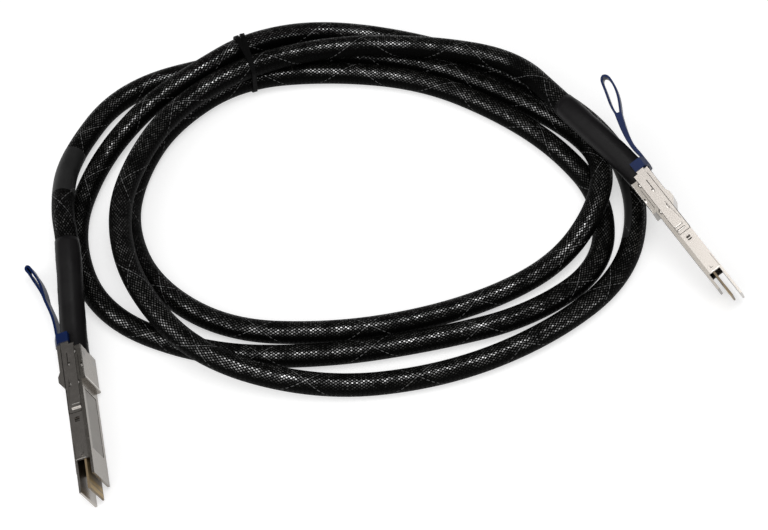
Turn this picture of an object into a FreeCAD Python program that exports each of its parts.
import FreeCAD, Part

import math
import os

# Direct attach copper cable: a sleeved twin-axial cable in a coil, with one
# pluggable connector at each end. Millimetres, +Z up, floor at Z = 0.
# Each plug is drawn in its own frame: X runs forward to the mouth from the rear
# end of the release slider, Z is across the plug, +Y is the label side.

V = FreeCAD.Vector

# ---- plug, outside ----
PLUG_WIDTH = 18.35          # across the plug, set by the cage it enters
FRONT_HALF = 4.25           # half the thickness of the part that enters the cage
BACK_FLOOR = -6.1           # outer face of the back-shell on the long-wall side
BACK_ROOF = 5.9             # outer face of the back-shell on the label side
GRIP_LOW = -7.1             # outer face of the cross rib on the floor
GRIP_REAR = 15.5
ROOF_RIB = 0.35             # how far the roof's front rib stands up
ROOF_RIB_WIDE = 0.9
BASE_REAR = 0.8             # rear end of the narrow walls
PLATE_REAR = 3.5            # rear end of the back-shell's floor and roof
BACK_END = 21.0             # front end of the back-shell
BACK_RAMP = 3.6             # length of the slope from back-shell to front section
LONG_WALL_TIP = 78.6
SHORT_WALL_TIP = 70.7
MOUTH = 62.4                # where the narrow walls end
WALL = 1.2                  # floor and roof thickness
SIDE_WALL = 2.0             # narrow wall beside the slider
MOUTH_WALL = 0.9            # narrow wall beside the paddle card
THICK_SIDE_END = 46.0       # where the narrow wall changes thickness
PART_LINE = 2.35            # joint between base and cover on the narrow face
EDGE_ROUND = 0.35           # rounding of the back-shell's long outer corners
HALF_W = PLUG_WIDTH / 2

# ---- release slider ----
ARM_FRONT = 38.0
ARM_LOW = -4.1
ARM_HIGH = 2.25
ARM_THICK = 0.8
ARM_RUNNING = 0.025         # face clearance under the arm
ARM_SIDE_GAP = 0.1          # clearance along each edge of the arm
RECESS_DEPTH = 1.0
RAMP_REAR = 33.5
RAMP_FRONT = 36.5
RAMP_HIGH = 0.65            # how far the unlocking ramp stands out
RAMP_LOW = -2.3
LUG_REAR = 16.4
LUG_FRONT = 18.2
SPRING_Y = -4.95
SPRING_REAR = 8.0
SPRING_RADIUS = 0.6
SPRING_WIRE = 0.22
SPRING_TURNS = 8

# ---- latch pockets ahead of the slider ----
LATCH_REAR = 40.6
LATCH_FRONT = 43.0
LATCH_LOW = -1.6
LATCH_HIGH = 0.7

# ---- card, wires and clamp ----
CARD_REAR = 28.0
CARD_TIP = 77.0
CARD_LOW = 0.0
CARD_THICK = 1.0
CARD_HALF_FRONT = HALF_W - MOUTH_WALL - 0.075   # running clearance beside the card
CARD_HALF_REAR = HALF_W - SIDE_WALL - 0.175
PADS_PER_ROW = 19
PAD_MARGIN = 1.0            # card edge to the middle of the outermost pad
PAD_PITCH = 2 * (CARD_HALF_FRONT - PAD_MARGIN) / (PADS_PER_ROW - 1)
PAD_HALF = PAD_PITCH * 0.34
PAD_FILM = 0.06
PAD_ROWS = ((CARD_TIP - 5.8, CARD_TIP - 3.6), (CARD_TIP - 2.8, CARD_TIP - 0.5))
CABLE_Y = -0.1              # height of the cable's axis in the back-shell
CORE_RADIUS = 4.4
CLAMP_FRONT = 11.0
PAIRS_PER_FACE = 8
WIRE_RADIUS = 0.42
WIRE_END = 31.0
WIRE_GAP = 0.05             # clearance round the wires in their potting
PAIR_PITCH = 2 * (CARD_HALF_REAR - 1.05) / (PAIRS_PER_FACE - 1)
POTTING_REAR = 25.0
POTTING_FRONT = 35.0
RIVET_RADIUS = 0.8
RIVET_HEAD = 1.5
LABEL_REAR = 26.0
LABEL_FRONT = 57.0
LABEL_HALF = HALF_W - 2.575
LABEL_RECESS = 0.3
REAR_RIVET = (CORE_RADIUS + HALF_W - SIDE_WALL) / 2      # midway from core to wall
FRONT_RIVET = HALF_W - 4.675
RIVET_SPOTS = ((7.4, REAR_RIVET), (7.4, -REAR_RIVET), (41.0, FRONT_RIVET), (41.0, -FRONT_RIVET))
POST_RADIUS = 1.45

# ---- pull tab ----
TAB_THICK = 1.1
TAB_WIDTH = 6.5
STRAP_THICK = 1.2
YOKE_REAR = -5.4
YOKE_FRONT = -0.3

# ---- cable and boots ----
CABLE_DIA = 11.2
BOOT_DIA = 12.8
BOOT_LENGTH = 61.0
BOOT_GAP = 0.05             # boot bore over the sleeve, each side
CABLE_START = 3.45          # where the sleeved cable meets the plug
CORNER = 0.45               # share of the shorter run that each bend takes up

# ---- where the plugs lie: position, then yaw, pitch and roll in degrees ----
POSE_A = ((-146.8, -54.6, 10.95), (-78.0, 0.5, 15.0))
POSE_B = ((127.0, 37.1, 23.9), (-55.4, 9.8, 206.0))

# ---- the coil: each turn lies at its own distance outside a common oval ----
OVAL_CENTRE = (-15.0, 36.0)
OVAL_HALF = (128.0, 94.0)
FLOOR_Z = 5.62              # axis of a strand that lies on the floor
TIED_Z = 7.7                # the same where the tie passes under it
# Stations are (angle round the oval, distance outside it, height of the axis).
TURN_1 = (
    (168, 22, 7.2), (144, 24, 6.3), (120, 6.5, TIED_Z), (96, 1.5, FLOOR_Z),
    (72, -1, FLOOR_Z), (48, -5, FLOOR_Z), (26, 0.5, 7.2), (8, 0, 16.9),
    (350, -6, 17.3), (332, -12, 8.4), (312, -18, FLOOR_Z), (288, -19, FLOOR_Z),
    (264, -14.5, FLOOR_Z), (240, -5, FLOOR_Z), (216, -5.5, FLOOR_Z),
)
TURN_2 = (
    (192, -11, FLOOR_Z), (168, -14.5, FLOOR_Z), (144, -10, FLOOR_Z), (120, -6, TIED_Z),
    (96, -11, 5.8), (72, -13, FLOOR_Z), (48, -17, FLOOR_Z), (24, -13.5, FLOOR_Z),
    (0, -1.5, FLOOR_Z), (336, 7, FLOOR_Z), (312, 0, 6.8), (288, -7, 5.8),
    (264, -2, FLOOR_Z), (240, 11.5, FLOOR_Z), (216, 24, FLOOR_Z),
)
TURN_3 = (
    (192, 17, FLOOR_Z), (168, 7.5, FLOOR_Z), (146, 3.5, 11.6), (130, 0, 18.7),
    (114, 7, 19.5), (96, 16, 8.4), (72, 11, FLOOR_Z), (48, 8.5, FLOOR_Z),
    (24, 14, FLOOR_Z), (0, 17, FLOOR_Z), (336, 19, 6.2), (312, 13.5, 6.6),
    (288, 13.5, FLOOR_Z), (264, 16.5, 6.1), (240, 19.5, 17.6), (216, 4.5, 17.4),
)
TURN_4 = (
    (192, -7.5, 17.3), (168, -15, 17.4), (144, -12, 17.3), (120, -8, 19.3),
    (96, -3, 17.4), (72, 1, 17.4),
)
LEAVE_A = ((-153.7, -3.2, 21.0), (-160.0, 22.0, 20.2))
REACH_B = ((68.4, 115.5, 19.0), (88.5, 80.1, 30.7))
STRAIGHT_A = -10.3          # the boot's first bend, behind plug A
STRAIGHT_B = -6.8           # the boot's last bend, behind plug B

# ---- tie ----
TIE_ANGLE = 117.0
TIE_WIDTH = 2.2
TIE_THICK = 1.0
TIE_LEAN = 4.0              # each band's lean from straight across, degrees
TIE_MEETING = 15.0          # how far inside the oval the bands meet
TIE_STEPS = 48
TIE_SEARCH = 70.0           # width of the sheet that finds the tied strands
TIE_REACH = CABLE_DIA / 2 + 0.12


def box(x0, x1, y0, y1, z0, z1):
    """A block between two corners."""
    return Part.makeBox(x1 - x0, y1 - y0, z1 - z0, V(x0, y0, z0))


def prism(points, z0, z1):
    """A flat outline in X and Y, drawn out across the plug."""
    corners = [V(x, y, z0) for x, y in points]
    face = Part.Face(Part.makePolygon(corners + [corners[0]]))
    return face.extrude(V(0, 0, z1 - z0))


def slab(points, x0, x1):
    """A flat outline in Y and Z, drawn out along the plug."""
    corners = [V(x0, y, z) for y, z in points]
    face = Part.Face(Part.makePolygon(corners + [corners[0]]))
    return face.extrude(V(x1 - x0, 0, 0))


def joined(shapes):
    """One solid from several that overlap or meet."""
    whole = shapes[0]
    for shape in shapes[1:]:
        whole = whole.fuse(shape)
    return whole.removeSplitter()


def mirrored(shape):
    """The same piece on the plug's other narrow side."""
    return shape.mirror(V(0, 0, 0), V(0, 0, 1))


def placement(pose):
    """The lie of a plug, from its position and its three angles."""
    where, turn = pose
    rotation = FreeCAD.Rotation(*turn)
    return FreeCAD.Placement(V(*where), rotation)


def out_in_world(pose, x, y, z):
    """A point of the plug's frame, in the common frame."""
    return placement(pose).multVec(V(x, y, z))


def arm_cut():
    """The recess, lug slot and spring pocket that one slider arm needs."""
    face = HALF_W - RECESS_DEPTH
    recess = box(BASE_REAR - 1, ARM_FRONT + 0.3, ARM_LOW - ARM_SIDE_GAP, PART_LINE, face, HALF_W + 1)
    pocket_low = SPRING_Y - SPRING_RADIUS - 0.2
    pocket = box(SPRING_REAR, LUG_FRONT + 0.2, pocket_low, ARM_LOW + 0.15, HALF_W - 1.75, HALF_W - 0.25)
    latch = box(LATCH_REAR, LATCH_FRONT, LATCH_LOW, LATCH_HIGH, face, HALF_W + 1)
    notch = box(MOUTH - 1.6, MOUTH - 0.6, -0.6, 0.0, HALF_W - 0.25, HALF_W + 1)
    return joined([recess, pocket]), latch, notch


def shell_base():
    """Long-wall half of the housing: floor, narrow walls and long tongue."""
    outline = [
        (BASE_REAR, BACK_FLOOR), (GRIP_REAR, BACK_FLOOR), (GRIP_REAR + 2, GRIP_LOW),
        (BACK_END - 0.5, GRIP_LOW), (BACK_END + BACK_RAMP, -FRONT_HALF),
        (LONG_WALL_TIP, -FRONT_HALF), (LONG_WALL_TIP, -FRONT_HALF + WALL),
        (MOUTH, -FRONT_HALF + WALL), (MOUTH, PART_LINE), (BASE_REAR, PART_LINE),
    ]
    body = prism(outline, -HALF_W, HALF_W)
    inner_rear = HALF_W - SIDE_WALL
    hollow = [
        (BASE_REAR - 1, BACK_FLOOR + WALL), (BACK_END - 0.5, BACK_FLOOR + WALL),
        (BACK_END + BACK_RAMP - 0.5, -FRONT_HALF + WALL), (THICK_SIDE_END, -FRONT_HALF + WALL),
        (THICK_SIDE_END, PART_LINE + 1), (BASE_REAR - 1, PART_LINE + 1),
    ]
    body = body.cut(prism(hollow, -inner_rear, inner_rear))
    inner_front = HALF_W - MOUTH_WALL
    body = body.cut(box(THICK_SIDE_END - 0.1, MOUTH + 1, -FRONT_HALF + WALL, PART_LINE + 1,
                        -inner_front, inner_front))
    body = body.cut(box(BASE_REAR - 1, PLATE_REAR, BACK_FLOOR - 1, PART_LINE + 1,
                        -inner_rear, inner_rear))
    recess, latch, notch = arm_cut()
    for cutter in (recess, latch, notch):
        body = body.cut(cutter)
        body = body.cut(mirrored(cutter))
    ledge = box(THICK_SIDE_END, MOUTH - 4.4, -FRONT_HALF + WALL, CARD_LOW, CARD_HALF_REAR, inner_front)
    body = joined([body, ledge, mirrored(ledge)])
    step = box(LONG_WALL_TIP - 9.6, LONG_WALL_TIP + 1, -FRONT_HALF - 1, -FRONT_HALF + 0.15,
               -HALF_W - 1, HALF_W + 1)
    body = body.cut(step)
    for x, z in RIVET_SPOTS:
        body = body.cut(Part.makeCylinder(RIVET_RADIUS, 6, V(x, BACK_FLOOR, z), V(0, 1, 0)))
    for x, z in RIVET_SPOTS[2:]:
        foot = V(x, -FRONT_HALF + WALL, z)
        post = Part.makeCylinder(POST_RADIUS, CARD_LOW - foot.y, foot, V(0, 1, 0))
        bore = Part.makeCylinder(RIVET_RADIUS, 9, V(x, -FRONT_HALF - 1, z), V(0, 1, 0))
        body = body.fuse(post).cut(bore)
    return rounded(body.removeSplitter(), EDGE_ROUND, edges_at_rear)


def edges_at_rear(edge):
    """Long outer corners of the back-shell's floor."""
    box_ = edge.BoundBox
    straight = box_.XLength > 8 and box_.YLength < 0.01 and box_.ZLength < 0.01
    outer = abs(abs(box_.ZMin) - HALF_W) < 0.01
    low = abs(box_.YMin - BACK_FLOOR) < 0.01
    high = abs(box_.YMin - BACK_ROOF) < 0.01
    return straight and outer and (low or high)


def rounded(shape, radius, wanted):
    """The same solid with the chosen edges rounded."""
    chosen = [edge for edge in shape.Edges if wanted(edge)]
    return shape.makeFillet(radius, chosen)


def shell_cover():
    """Label-side half of the housing: roof, lips and rivet posts."""
    roof_low = BACK_ROOF - WALL
    front_low = FRONT_HALF - WALL
    outline = [
        (PLATE_REAR, PART_LINE), (PLATE_REAR, BACK_ROOF), (BACK_END - 0.6, BACK_ROOF),
        (BACK_END, BACK_ROOF + ROOF_RIB), (BACK_END + ROOF_RIB_WIDE, BACK_ROOF + ROOF_RIB),
        (BACK_END + ROOF_RIB_WIDE, FRONT_HALF),
        (SHORT_WALL_TIP, FRONT_HALF), (SHORT_WALL_TIP, front_low), (MOUTH, front_low),
        (MOUTH, PART_LINE),
    ]
    body = prism(outline, -HALF_W, HALF_W)
    inner_rear = HALF_W - SIDE_WALL
    hollow = [
        (PLATE_REAR - 1, PART_LINE - 1), (PLATE_REAR - 1, roof_low), (BACK_END - 0.6, roof_low),
        (BACK_END - 0.6, front_low), (THICK_SIDE_END, front_low), (THICK_SIDE_END, PART_LINE - 1),
    ]
    body = body.cut(prism(hollow, -inner_rear, inner_rear))
    inner_front = HALF_W - MOUTH_WALL
    body = body.cut(box(THICK_SIDE_END - 0.1, MOUTH + 1, PART_LINE - 1, front_low,
                        -inner_front, inner_front))
    body = body.cut(box(LABEL_REAR, LABEL_FRONT, FRONT_HALF - LABEL_RECESS, FRONT_HALF + 1,
                        -LABEL_HALF, LABEL_HALF))
    card_top = CARD_LOW + CARD_THICK
    press = box(THICK_SIDE_END + 2, MOUTH - 6.4, card_top, front_low, CARD_HALF_REAR, inner_front)
    parts = [body, press, mirrored(press)]
    for x, z in RIVET_SPOTS[2:]:
        parts.append(Part.makeCylinder(POST_RADIUS, front_low - card_top, V(x, card_top, z), V(0, 1, 0)))
    body = joined(parts)
    for x, z in RIVET_SPOTS[2:]:
        body = body.cut(rivet_hole(x, z, FRONT_HALF - LABEL_RECESS))
    for x, z in RIVET_SPOTS[:2]:
        body = body.cut(rivet_hole(x, z, BACK_ROOF))
    return rounded(body.removeSplitter(), EDGE_ROUND, edges_at_rear)


def rivet_hole(x, z, face):
    """Bore and head seat of one rivet in the cover."""
    bore = Part.makeCylinder(RIVET_RADIUS, 14, V(x, face - 13.5, z), V(0, 1, 0))
    seat = Part.makeCylinder(RIVET_HEAD, 3, V(x, face - 0.5, z), V(0, 1, 0))
    return bore.fuse(seat)


def cover_rivets():
    """Four rivets that draw the cover down on the base."""
    rivets = []
    for x, z in RIVET_SPOTS:
        low = -FRONT_HALF if x > BACK_END else BACK_FLOOR
        face = FRONT_HALF - LABEL_RECESS if x > BACK_END else BACK_ROOF
        shank = Part.makeCylinder(RIVET_RADIUS, face - 0.5 - low, V(x, low, z), V(0, 1, 0))
        head = Part.makeCylinder(RIVET_HEAD, 0.5, V(x, face - 0.5, z), V(0, 1, 0))
        rivets.append(joined([shank, head]))
    return Part.makeCompound(rivets)


def label():
    """Blank plate in the cover's recess."""
    plate = box(LABEL_REAR + 0.3, LABEL_FRONT - 0.3, FRONT_HALF - LABEL_RECESS, FRONT_HALF - 0.1,
                -LABEL_HALF + 0.3, LABEL_HALF - 0.3)
    corners = [e for e in plate.Edges if e.BoundBox.YLength > 0.1]
    return plate.makeFillet(0.8, corners)


def paddle_card():
    """Edge card on the base's ledges, with shoulders and rivet holes."""
    top = CARD_LOW + CARD_THICK
    front = box(THICK_SIDE_END + 0.3, CARD_TIP, CARD_LOW, top, -CARD_HALF_FRONT, CARD_HALF_FRONT)
    rear = box(CARD_REAR, THICK_SIDE_END + 0.4, CARD_LOW, top, -CARD_HALF_REAR, CARD_HALF_REAR)
    card = joined([front, rear])
    for x, z in RIVET_SPOTS[2:]:
        card = card.cut(Part.makeCylinder(RIVET_RADIUS + 0.1, 4, V(x, CARD_LOW - 1, z), V(0, 1, 0)))
    tip = [e for e in card.Edges if e.BoundBox.XMin > CARD_TIP - 0.01 and e.BoundBox.ZLength > 10]
    return card.makeChamfer(0.25, tip)


def contact_pads():
    """Two staggered rows of gold pads on each face of the card."""
    pads = []
    first = -PAD_PITCH * (PADS_PER_ROW - 1) / 2
    for row_start, row_end in PAD_ROWS:
        for index in range(PADS_PER_ROW):
            z = first + index * PAD_PITCH
            for low in (CARD_LOW - PAD_FILM, CARD_LOW + CARD_THICK):
                pads.append(box(row_start, row_end, low, low + PAD_FILM, z - PAD_HALF, z + PAD_HALF))
    return Part.makeCompound(pads)


def wire_run(start, finish):
    """One insulated conductor from the clamp to its land on the card."""
    middle = V(finish.x - 10, finish.y, finish.z)
    return tube(bend_edges([start, middle, finish]), WIRE_RADIUS)


def pair_wires():
    """Eight twin-axial pairs to each face of the card."""
    wires = []
    for side, land in ((1, CARD_LOW + CARD_THICK + WIRE_RADIUS), (-1, CARD_LOW - WIRE_RADIUS)):
        for pair in range(PAIRS_PER_FACE):
            for half in (-WIRE_RADIUS - 0.01, WIRE_RADIUS + 0.01):
                spread = (pair - (PAIRS_PER_FACE - 1) / 2) * PAIR_PITCH + half
                start = V(CLAMP_FRONT + 0.2, CABLE_Y + side * 1.1, spread * 0.56)
                wires.append(wire_run(start, V(WIRE_END, land, spread)))
    return wires


def wire_potting():
    """Moulded block over the solder ends, in halves above and below the card."""
    low = -FRONT_HALF + WALL
    block = box(POTTING_REAR, POTTING_FRONT, low, FRONT_HALF - WALL, -CARD_HALF_REAR, CARD_HALF_REAR)
    block = block.cut(box(POTTING_REAR - 1, POTTING_FRONT + 1, CARD_LOW, CARD_LOW + CARD_THICK,
                          -CARD_HALF_REAR - 1, CARD_HALF_REAR + 1))
    room = 2 * WIRE_RADIUS + WIRE_GAP
    block = block.cut(box(POTTING_REAR - 1, WIRE_END, CARD_LOW - room, CARD_LOW + CARD_THICK + room,
                          -CARD_HALF_REAR - 1, CARD_HALF_REAR + 1))
    return block


def end_clamp():
    """Crimp block that grips the braid between the two shells."""
    half = HALF_W - SIDE_WALL
    block = box(PLATE_REAR + 0.6, CLAMP_FRONT, BACK_FLOOR + WALL, BACK_ROOF - WALL, -half, half)
    block = block.cut(Part.makeCylinder(CORE_RADIUS, CLAMP_FRONT + 1, V(0, CABLE_Y, 0), V(1, 0, 0)))
    through = BACK_ROOF - BACK_FLOOR
    for x, z in RIVET_SPOTS[:2]:
        block = block.cut(Part.makeCylinder(RIVET_RADIUS, through, V(x, BACK_FLOOR, z), V(0, 1, 0)))
    return block


def cable_core():
    """Bared core of the cable, held in the clamp."""
    start = CABLE_START + 0.05
    return Part.makeCylinder(CORE_RADIUS, CLAMP_FRONT - start, V(start, CABLE_Y, 0), V(1, 0, 0))


def slider_arm():
    """One arm: strip with narrow tongue, lug and unlocking ramp."""
    low = HALF_W - RECESS_DEPTH + ARM_RUNNING
    high = low + ARM_THICK
    strip = [
        (YOKE_REAR + 1.0, -4.0), (BASE_REAR + 0.6, -4.0), (BASE_REAR + 0.6, ARM_LOW),
        (ARM_FRONT - 0.8, ARM_LOW), (ARM_FRONT, ARM_LOW + 0.8), (ARM_FRONT, ARM_HIGH - 0.8),
        (ARM_FRONT - 0.8, ARM_HIGH), (BASE_REAR + 0.6, ARM_HIGH), (BASE_REAR + 0.6, 0.0),
        (YOKE_REAR + 1.0, 0.0),
    ]
    arm = prism(strip, low, high)
    ramp_profile = [
        V(RAMP_REAR, RAMP_LOW, high), V(RAMP_REAR + 0.9, RAMP_LOW, high + RAMP_HIGH),
        V(RAMP_FRONT - 0.9, RAMP_LOW, high + RAMP_HIGH), V(RAMP_FRONT, RAMP_LOW, high),
    ]
    face = Part.Face(Part.makePolygon(ramp_profile + [ramp_profile[0]]))
    ramp = face.extrude(V(0, ARM_HIGH - 0.1 - RAMP_LOW, 0))
    lug = box(LUG_REAR, LUG_FRONT - 0.4, SPRING_Y - 0.7, ARM_LOW + 0.1, HALF_W - 1.6, HALF_W - 0.4)
    return joined([arm, ramp, lug])


# Half outlines in Y and Z of what crosses behind the shells, from outside in.
YOKE_HALF = (
    (0.2, HALF_W + 0.425), (-5.6, HALF_W + 0.425), (-7.95, HALF_W - 4.175),
    (-6.75, HALF_W - 5.775), (-3.6, HALF_W - 1.975), (0.2, HALF_W - 1.975),
)
CROSS_HALF = (
    (-4.0, HALF_W - 0.2), (-5.1, HALF_W - 0.2), (-7.6, HALF_W - 4.575),
    (-7.1, HALF_W - 4.975), (-4.8, HALF_W - 0.975), (-4.0, HALF_W - 0.975),
)


def both_halves(half):
    """A whole C-shaped outline from the half of it on one side."""
    other = [(y, -z) for y, z in half]
    outside = list(half[:3]) + other[2::-1]
    inside = other[:2:-1] + list(half[3:])
    return outside + inside


def release_slider():
    """Both arms and the cross strap that joins them behind the shells."""
    arm = slider_arm()
    strap = slab(both_halves(CROSS_HALF), YOKE_REAR + 1.6, YOKE_FRONT - 1.2)
    return joined([arm, mirrored(arm), strap])


def smooth_line(points):
    """A smooth line through flat points, along one edge of the tab."""
    curve = Part.BSplineCurve()
    curve.interpolate([V(x, y, -TAB_WIDTH / 2) for x, y in points])
    return curve


def tab_band(curve, first, last, thick_first, thick_last):
    """A curved strap: the line's two sides, closed at both ends and drawn out."""
    steps = 24
    near = []
    far = []
    for index in range(steps + 1):
        share = index / steps
        u = first + (last - first) * share
        along = curve.tangent(u)[0]
        half = (thick_first + (thick_last - thick_first) * share) / 2
        across = V(-along.y, along.x, 0).multiply(half)
        near.append(curve.value(u) + across)
        far.append(curve.value(u) - across)
    one = Part.BSplineCurve()
    one.interpolate(near)
    two = Part.BSplineCurve()
    two.interpolate(far)
    ends = [Part.makeLine(near[0], far[0]), Part.makeLine(near[-1], far[-1])]
    edges = [one.toShape(), ends[1], two.toShape(), ends[0]]
    face = Part.Face(Part.Wire(Part.__sortEdges__(edges)))
    return face.extrude(V(0, 0, TAB_WIDTH))


# Centre lines of each strap and of its finger loop, in the plug's X and Y.
STRAP_A = ((-4.2, -7.35), (-12.2, -7.6), (-19.5, -8.35), (-25.0, -9.6), (-31.4, -11.3))
LOOP_A = ((-31.0, -11.2), (-37.7, -13.25), (-44.0, -15.8), (-49.3, -18.05), (-51.5, -18.75),
          (-52.6, -18.2), (-52.1, -17.2), (-50.0, -16.1), (-45.0, -14.05), (-40.0, -12.4),
          (-35.3, -11.5), (-31.0, -11.1))
SPREAD_A = 1.3              # thickness of the strap where its loop begins
STRAP_B = ((-4.2, -7.35), (-8.5, -7.2), (-13.0, -6.9), (-21.0, -7.95), (-32.0, -11.4))
LOOP_B = ((-31.4, -10.4), (-37.2, -10.9), (-41.0, -12.0), (-44.4, -13.1), (-48.6, -14.3),
          (-51.2, -15.5), (-52.0, -16.9), (-51.0, -18.3), (-48.6, -18.8), (-45.6, -18.5),
          (-41.1, -17.4), (-35.7, -15.0), (-31.4, -12.5))
SPREAD_B = 3.6


def pull_tab(strap, loop, spread, slider):
    """Flexible tab: yoke moulded on the slider, strap and finger loop."""
    yoke = slab(both_halves(YOKE_HALF), YOKE_REAR, YOKE_FRONT)
    line = smooth_line(strap)
    ring = smooth_line(loop)
    middle = (ring.FirstParameter + ring.LastParameter) / 2
    tab = joined([
        yoke,
        tab_band(line, line.FirstParameter, line.LastParameter, STRAP_THICK, spread),
        tab_band(ring, ring.FirstParameter, middle, TAB_THICK, TAB_THICK),
        tab_band(ring, middle, ring.LastParameter, TAB_THICK, TAB_THICK),
    ])
    return tab.cut(slider)


def slider_springs():
    """Return springs behind the lugs, one on each narrow side."""
    length = LUG_REAR - SPRING_REAR
    start = SPRING_REAR + SPRING_WIRE
    coil = Part.makeHelix((length - 2 * SPRING_WIRE) / SPRING_TURNS, length - 2 * SPRING_WIRE,
                          SPRING_RADIUS - SPRING_WIRE / 2)
    middle = V(SPRING_RADIUS - SPRING_WIRE / 2, 0, 0)
    section = Part.Wire(Part.makeCircle(SPRING_WIRE, middle, V(0, 1, 0.1)))
    spring = Part.Wire(coil).makePipeShell([section], True, True)
    spring.rotate(V(0, 0, 0), V(0, 1, 0), 90)
    spring.translate(V(start, SPRING_Y, HALF_W - 1.0))
    return Part.makeCompound([spring, mirrored(spring)])


def station(angle, outside, height):
    """A point of the coil, from its place round the common oval."""
    turn = math.radians(angle)
    x = OVAL_CENTRE[0] + (OVAL_HALF[0] + outside) * math.cos(turn)
    y = OVAL_CENTRE[1] + (OVAL_HALF[1] + outside) * math.sin(turn)
    return V(x, y, height)


def route():
    """Corner points of the cable's line, from plug A to plug B."""
    points = [out_in_world(POSE_A, CABLE_START, CABLE_Y, 0)]
    points.append(out_in_world(POSE_A, STRAIGHT_A, CABLE_Y, 0))
    points += [V(*p) for p in LEAVE_A]
    for turn in (TURN_1, TURN_2, TURN_3, TURN_4):
        points += [station(*s) for s in turn]
    points += [V(*p) for p in REACH_B]
    points.append(out_in_world(POSE_B, STRAIGHT_B, CABLE_Y, 0))
    points.append(out_in_world(POSE_B, CABLE_START, CABLE_Y, 0))
    return points


def bend_edges(points):
    """Straight runs joined by tangent arcs, in order along the line."""
    edges = []
    here = points[0]
    for index in range(1, len(points) - 1):
        corner = points[index]
        back = points[index - 1] - corner
        on = points[index + 1] - corner
        reach = CORNER * min(back.Length, on.Length)
        back.normalize()
        on.normalize()
        start = corner + back * reach
        finish = corner + on * reach
        half_turn = (math.pi - back.getAngle(on)) / 2
        radius = reach / math.tan(half_turn)
        inward = (back + on).normalize()
        centre = corner + inward * (radius / math.cos(half_turn))
        middle = centre - inward * radius
        edges.append(Part.LineSegment(here, start).toShape())
        edges.append(Part.Arc(start, middle, finish).toShape())
        here = finish
    edges.append(Part.LineSegment(here, points[-1]).toShape())
    return edges


def tube(edges, radius):
    """A round solid swept along joined edges."""
    path = Part.Wire(edges)
    start = path.Edges[0].firstVertex().Point
    along = path.Edges[0].tangentAt(path.Edges[0].FirstParameter)
    section = Part.Wire(Part.makeCircle(radius, start, along))
    return path.makePipeShell([section], True, False)


def first_stretch(edges, length):
    """The line's first part, cut off at a length."""
    kept = []
    for edge in edges:
        if edge.Length >= length:
            stop = edge.getParameterByLength(length)
            kept.append(edge.Curve.toShape(edge.FirstParameter, stop))
            break
        kept.append(edge)
        length -= edge.Length
    return kept


def last_stretch(edges, length):
    """The line's last part, cut off at a length from its end."""
    kept = []
    for edge in reversed(edges):
        if edge.Length >= length:
            start = edge.getParameterByLength(edge.Length - length)
            kept.append(edge.Curve.toShape(start, edge.LastParameter))
            break
        kept.append(edge)
        length -= edge.Length
    return kept[::-1]


def boot(edges):
    """Shrunk sleeve over the cable's end, bent with it."""
    outer = tube(edges, BOOT_DIA / 2)
    inner = tube(edges, CABLE_DIA / 2 + BOOT_GAP)
    return outer.cut(inner)


def tie_plane(lean):
    """Inner side of the tie, with one band's directions outward and along."""
    angle = math.radians(TIE_ANGLE)
    square = V(OVAL_HALF[1] * math.cos(angle), OVAL_HALF[0] * math.sin(angle), 0).normalize()
    meeting = station(TIE_ANGLE, 0, 0) - square * TIE_MEETING
    outward = FreeCAD.Rotation(V(0, 0, 1), lean).multVec(square)
    along = V(-outward.y, outward.x, 0)
    return meeting, outward, along


def strands_at_tie(edges, lean):
    """Where the strands pass one band: distance outward and height of each."""
    meeting, outward, along = tie_plane(lean)
    low = meeting - outward * 20 - V(0, 0, 5)
    high = V(0, 0, 45)
    reach = outward * TIE_SEARCH
    corners = [low, low + reach, low + reach + high, low + high, low]
    sheet = Part.Face(Part.makePolygon(corners))
    places = []
    for edge in edges:
        for vertex in sheet.section(edge).Vertexes:
            place = vertex.Point - meeting
            places.append((place.dot(outward), place.z))
    return places


def hull(points):
    """Corners of the tightest outline round flat points, in order."""
    ordered = sorted(points)
    chains = []
    for run in (ordered, ordered[::-1]):
        chain = []
        for point in run:
            while len(chain) > 1 and turn_of(chain[-2], chain[-1], point) <= 0:
                chain.pop()
            chain.append(point)
        chains.append(chain[:-1])
    return chains[0] + chains[1]


def turn_of(a, b, c):
    """Positive where the way from a through b to c turns left."""
    return (b[0] - a[0]) * (c[1] - a[1]) - (b[1] - a[1]) * (c[0] - a[0])


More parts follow.
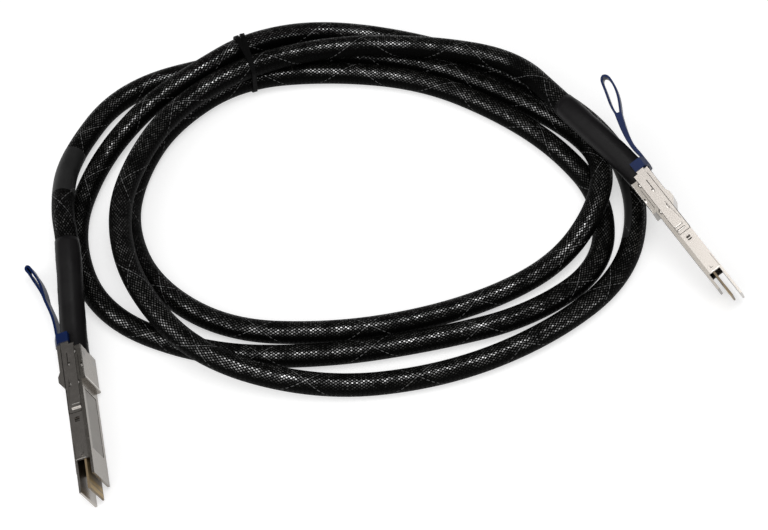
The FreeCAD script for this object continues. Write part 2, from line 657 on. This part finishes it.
def tie_outline(places, reach):
    """Outline of a band that lies that far outside every strand's axis."""
    rim = []
    for across, height in places:
        for step in range(TIE_STEPS):
            angle = 2 * math.pi * step / TIE_STEPS
            rim.append((across + reach * math.cos(angle), height + reach * math.sin(angle)))
    return hull(rim)


def tie_band(edges, lean):
    """One band of the tie round the whole bundle."""
    meeting, outward, along = tie_plane(lean)
    places = strands_at_tie(edges, lean)
    rings = []
    for reach in (TIE_REACH + TIE_THICK, TIE_REACH):
        corners = [
            meeting + outward * across - along * (TIE_WIDTH / 2) + V(0, 0, height)
            for across, height in tie_outline(places, reach)
        ]
        face = Part.Face(Part.makePolygon(corners + [corners[0]]))
        rings.append(face.extrude(along * TIE_WIDTH))
    return rings[0].cut(rings[1])


def coil_tie(edges):
    """Doubled tie: two bands that meet inside the coil and spread outward."""
    return joined([tie_band(edges, lean) for lean in (-TIE_LEAN, TIE_LEAN)])


def plug(pose, strap, loop, spread):
    """All the pieces of one plug, in its place."""
    slider = release_slider()
    pieces = {
        "shell_base": shell_base(),
        "shell_cover": shell_cover(),
        "cover_rivets": cover_rivets(),
        "label": label(),
        "paddle_card": paddle_card(),
        "contact_pads": contact_pads(),
        "pair_wires": Part.makeCompound(pair_wires()),
        "wire_potting": wire_potting(),
        "end_clamp": end_clamp(),
        "cable_core": cable_core(),
        "release_slider": slider,
        "pull_tab": pull_tab(strap, loop, spread, slider),
        "slider_springs": slider_springs(),
    }
    for shape in pieces.values():
        shape.Placement = placement(pose).multiply(shape.Placement)
    return pieces


def build():
    """Every piece by name."""
    pieces = {}
    one = plug(POSE_A, STRAP_A, LOOP_A, SPREAD_A)
    other = plug(POSE_B, STRAP_B, LOOP_B, SPREAD_B)
    for end, made in (("_a", one), ("_b", other)):
        for name, shape in made.items():
            pieces[name + end] = shape
    edges = bend_edges(route())
    pieces["cable"] = tube(edges, CABLE_DIA / 2)
    pieces["boot_a"] = boot(first_stretch(edges, BOOT_LENGTH))
    pieces["boot_b"] = boot(last_stretch(edges, BOOT_LENGTH))
    pieces["coil_tie"] = coil_tie(edges)
    return pieces


os.makedirs("parts", exist_ok=True)
for node, shape in build().items():
    shape.exportStep("parts/" + node + ".step")
